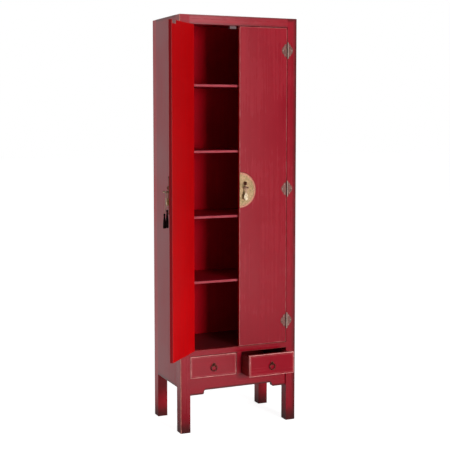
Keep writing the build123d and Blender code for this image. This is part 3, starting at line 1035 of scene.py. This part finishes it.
def tassel(points, name):
    """A tassel where the CAD has one: its piece and the top of its head."""
    low, high = reach(points, UP)
    centre = box_middle(points)
    top = Vector((centre.x, centre.y, high))
    length = high - low
    skirt_radius = width(points, AXES[0]) / 2
    head_radius = skirt_radius * head_width
    parts = tassel_head(top, head_radius)
    for share, count in thread_rings:
        for number in range(count):
            outward = spoke(math.tau * (number + chance.uniform(-bunching, bunching)) / count)
            neck = outward * head_radius * thread_neck * share
            start = top + DOWN * head_height * thread_start + neck
            fall = DOWN * length * chance.uniform(shortest_thread, 1.0)
            end = top + fall + outward * skirt_radius * share
            stray = Vector((chance.uniform(-1, 1), chance.uniform(-1, 1), 0)) * thread_stray
            parts.append(thread(start, end, outward * skirt_radius * thread_bow + stray))
    vertices, faces = joined(parts)
    return piece(name, vertices, faces, silk_black, "tassels"), top


line_detail = 16


def route_line(points):
    """The smooth line of a cord whose control points are given."""
    curve = bpy.data.curves.new("route", "CURVE")
    curve.dimensions = "3D"
    curve.resolution_u = line_detail
    spline = curve.splines.new("NURBS")
    spline.points.add(len(points) - 1)
    for control, point in zip(spline.points, points):
        control.co = (*point, 1.0)
    spline.order_u = 3
    spline.use_endpoint_u = True
    holder = bpy.data.objects.new("route", curve)
    line = bpy.data.meshes.new_from_object(holder)
    path = [vertex.co.copy() for vertex in line.vertices]
    bpy.data.objects.remove(holder)
    bpy.data.curves.remove(curve)
    bpy.data.meshes.remove(line)
    return path


loop_low, loop_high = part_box("tassel_loop")
loop_middle = (loop_low + loop_high) / 2
loop_radius = (loop_high.z - loop_low.z) / 2 - cord_radius
loop_angles = (60, 30, 0, -30, -60)  # the loop's bends from its top to its bottom, in degrees
loop_ease = 1.04
knot_drop = 0.004  # the cords part this far below the loop
knot_offset = 1.15  # and this far from its middle, in radii of the cord
knot_run = 12  # length of their first run from there, in radii of the cord
cord_run_in = 0.017  # length of a cord inside its tassel


def hanging_cord(name, side, top):
    """One twisted cord: from the top of the post round one side of it, then down to its tassel."""
    across = along_left * side
    points = [loop_middle + UP * loop_radius]
    for degrees in loop_angles:
        bend = spoke(math.radians(degrees), across, UP)
        points.append(loop_middle + bend * loop_radius * loop_ease)
    knot = loop_middle + DOWN * (loop_radius + knot_drop) + across * cord_radius * knot_offset
    end = top + DOWN * cord_run_in
    points += [knot, knot + (end - knot).normalized() * cord_radius * knot_run, end]
    path = route_line(points)
    travelled = [0.0]
    for a, b in zip(path, path[1:]):
        travelled.append(travelled[-1] + (b - a).length)

    def section(number, angle):
        phase = ply_count * (angle - math.tau * travelled[number] / (twist_pitch * ply_count))
        return cord_radius * (1.0 - ply_depth + ply_depth * abs(math.cos(phase / 2)))

    vertices, faces = tube(path, section)
    cord = piece(name, vertices, faces, cord_beige, "tassel_cords")
    return cord


tassel_solids = sorted(solids_of("tassels"), key=lambda points: box_middle(points).dot(out_left))
tassel_inner, inner_top = tassel(tassel_solids[0], "tassel_inner")
tassel_outer, outer_top = tassel(tassel_solids[1], "tassel_outer")
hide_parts("tassels")
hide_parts("tassels")
cord_inner = hanging_cord("cord_inner", 1, inner_top)
cord_outer = hanging_cord("cord_outer", -1, outer_top)
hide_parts("tassel_cords")
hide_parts("tassel_cords", "tassel_loop")


# ---------------------------------------------------------------- floor, light and world
floor_half = 30.0
floor_paint = 0.6
floor_glow = 0.86
studio_front = 0.10  # how bright the studio is in the gloss, on the camera's side
studio_back = 0.80  # and behind the cabinet
ambient = 0.22
backdrop_bearing = (-0.45, 0.89, 0.0)  # where the white backdrop in the left side's gloss stands
backdrop_edge = (0.2, 0.7)  # how nearly a ray goes there when the backdrop starts, and when it is full
floor_behind = (0.0, 0.9, 0.0, studio_back)  # two depths of the floor, its level in the gloss at each
floor_before = (-0.3, -0.95)  # depths in front of the cabinet between which the floor gets bright
floor_sideways = (0.62, 0.36, 0.2, 1.3)  # two places across that floor, and its level at each
lamp_target = (0.0, -0.1, 0.95)


def ray_is(tree, names):
    """1 for a ray of any of these kinds, else 0."""
    light_path = tree.nodes.new("ShaderNodeLightPath")
    seen = light_path.outputs[names[0]]
    for name in names[1:]:
        most = tree.nodes.new("ShaderNodeMath")
        most.operation = "MAXIMUM"
        tree.links.new(seen, most.inputs[0])
        tree.links.new(light_path.outputs[name], most.inputs[1])
        seen = most.outputs[0]
    return seen


def pale_floor():
    """A white floor: it shows white to the eye and in gloss, and keeps a soft share of the shadow."""
    mesh = bpy.data.meshes.new("floor")
    corners = [(x * floor_half, y * floor_half, 0) for x, y in ((-1, -1), (1, -1), (1, 1), (-1, 1))]
    mesh.from_pydata(corners, [], [(0, 1, 2, 3)])
    floor = bpy.data.objects.new("floor", mesh)
    scene.collection.objects.link(floor)
    finish = Finish("floor_white", Roughness=0.9)
    finish.shader.inputs["Base Color"].default_value = (floor_paint, floor_paint, floor_paint, 1.0)
    glow = finish.add("ShaderNodeEmission")
    glow.inputs["Color"].default_value = WHITE
    eye = ray_is(finish.tree, ("Is Camera Ray", "Is Transmission Ray"))
    gloss = ray_is(finish.tree, ("Is Glossy Ray",))
    behind = finish.step(finish.along(AXES[1]), *floor_behind)
    before = finish.product(
        finish.step(finish.along(AXES[1]), *floor_before),
        finish.step(finish.along(AXES[0]), *floor_sideways),
    )
    in_gloss = finish.math("MAXIMUM", behind, before, studio_front)
    level = finish.total(eye, finish.product(gloss, in_gloss))
    finish.put(glow.inputs["Strength"], finish.product(level, floor_glow))
    both = finish.add("ShaderNodeAddShader")
    finish.put(both.inputs[0], finish.shader.outputs[0])
    finish.put(both.inputs[1], glow.outputs[0])
    finish.put(finish.tree.nodes["Material Output"].inputs["Surface"], both.outputs[0])
    floor.data.materials.append(finish.material)


def area_light(name, azimuth, elevation, distance, size, power, target=lamp_target):
    """A soft lamp at a bearing from the cabinet's front normal and a height, both in degrees."""
    turn = math.radians(azimuth)
    rise = math.radians(elevation)
    away = Vector((math.sin(turn) * math.cos(rise), -math.cos(turn) * math.cos(rise), math.sin(rise)))
    lamp = bpy.data.lights.new(name, "AREA")
    lamp.shape = "RECTANGLE"
    lamp.size, lamp.size_y = size
    lamp.energy = power
    holder = bpy.data.objects.new(name, lamp)
    holder.location = Vector(target) + away * distance
    holder.rotation_euler = (-away).to_track_quat("-Z", "Y").to_euler()
    scene.collection.objects.link(holder)
    return holder


def white_world():
    """White to the eye. In gloss white behind the cabinet and dim in front, with a low even fill."""
    world = bpy.data.worlds.new("studio")
    world.use_nodes = True
    scene.world = world
    tree = world.node_tree
    background = tree.nodes["Background"]
    background.inputs["Color"].default_value = WHITE
    direction = tree.nodes.new("ShaderNodeTexCoord").outputs["Generated"]
    towards = tree.nodes.new("ShaderNodeVectorMath")
    towards.operation = "DOT_PRODUCT"
    tree.links.new(direction, towards.inputs[0])
    towards.inputs[1].default_value = backdrop_bearing
    in_gloss = tree.nodes.new("ShaderNodeMapRange")
    in_gloss.interpolation_type = "SMOOTHSTEP"
    tree.links.new(towards.outputs["Value"], in_gloss.inputs["Value"])
    names = ("From Min", "From Max", "To Min", "To Max")
    for name, value in zip(names, (*backdrop_edge, studio_front, studio_back)):
        in_gloss.inputs[name].default_value = value
    eye = ray_is(tree, ("Is Camera Ray", "Is Transmission Ray"))
    gloss = ray_is(tree, ("Is Glossy Ray",))
    level = ambient
    for factor, strength in ((gloss, in_gloss.outputs["Result"]), (eye, 1.0)):
        blend = tree.nodes.new("ShaderNodeMix")
        blend.data_type = "FLOAT"
        tree.links.new(factor, blend.inputs[0])
        for socket, value in ((blend.inputs[2], level), (blend.inputs[3], strength)):
            if isinstance(value, bpy.types.NodeSocket):
                tree.links.new(value, socket)
            else:
                socket.default_value = value
        level = blend.outputs[0]
    tree.links.new(level, background.inputs["Strength"])


pale_floor()
white_world()
key = area_light("key", azimuth=11.0, elevation=5.0, distance=5.0, size=(1.5, 1.5), power=174.0)
key.visible_glossy = False
side_fill = area_light(
    "side_fill", azimuth=-80.0, elevation=12.0, distance=4.0, size=(2.0, 2.0), power=32.0
)
side_fill.visible_glossy = False
gloss_panel = area_light(
    "gloss_panel",
    azimuth=17.5,
    elevation=4.0,
    distance=3.0,
    size=(0.9, 2.8),
    power=27.0,
    target=(-0.2, -0.2, 1.12),
)
gloss_panel.visible_diffuse = False
